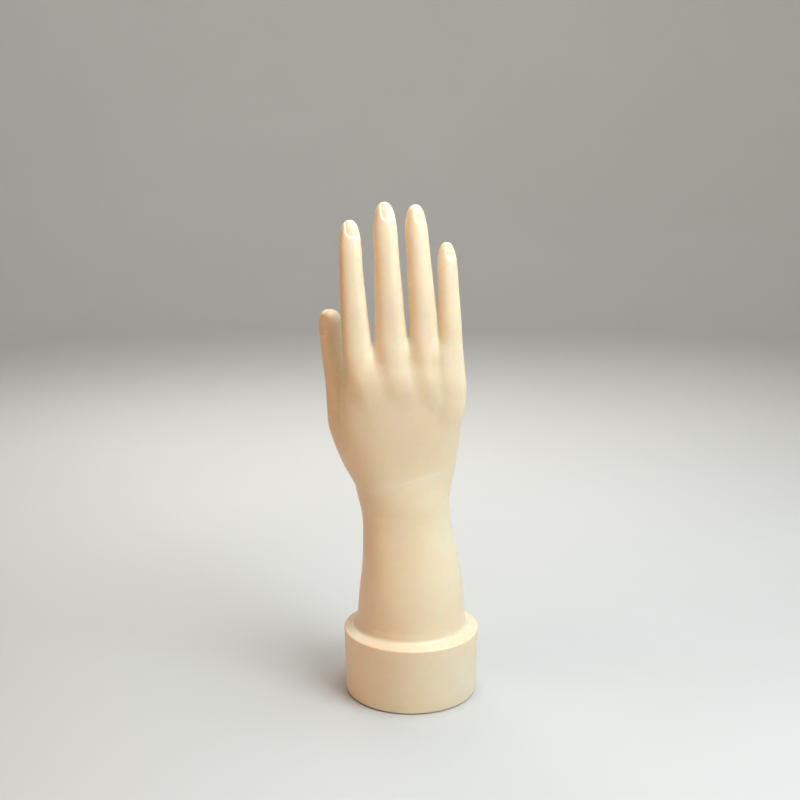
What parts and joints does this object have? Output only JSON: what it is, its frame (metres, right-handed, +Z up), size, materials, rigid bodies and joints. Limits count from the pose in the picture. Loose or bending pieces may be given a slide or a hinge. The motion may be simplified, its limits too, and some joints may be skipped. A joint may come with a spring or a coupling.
{
  "type": "display hand on turning base",
  "caption": "Right hand and forearm moulded in cream plastic, standing upright on a round weighted base that it turns on.",
  "frame": {"origin": "centre of the base's underside, on the axis that the forearm turns about", "axes": "+Z up, +X towards the little finger, -Y towards the viewer, which the back of the hand faces"},
  "size_m": [0.0999, 0.085, 0.3075],
  "materials": {
    "hand_plastic": "satin, slightly translucent cream",
    "forearm_plastic": "satin, slightly translucent cream",
    "base_plastic": "satin, slightly translucent cream",
    "nylon": "matte natural nylon",
    "bush_nylon": "smooth natural nylon",
    "cover_plastic": "matte moulded plastic",
    "brass": "turned and knurled",
    "zinc_steel": "zinc plated",
    "spring_steel": "oiled spring steel",
    "ballast_iron": "rough cast",
    "rubber": "matte black rubber"
  },
  "bodies": {
    "base": {"base_shell": "base_plastic", "ballast_ring": "ballast_iron", "bottom_cover": "cover_plastic", "cover_screws": "zinc_steel", "foot_pad": "rubber", "pivot_bush": "bush_nylon", "wave_washer": "spring_steel"},
    "arm": {"hand_shell": "hand_plastic", "forearm_shell": "forearm_plastic", "wrist_sleeve": "nylon", "foot_plug": "nylon", "threaded_insert": "brass", "pivot_bolt": "zinc_steel", "flat_washer": "zinc_steel"}
  },
  "joints": [
    {"name": "arm_turn", "type": "hinge", "parent": "base", "child": "arm", "pos_m": [0, 0, 0.041], "axis": [0, 0, 1], "continuous": true}
  ]
}
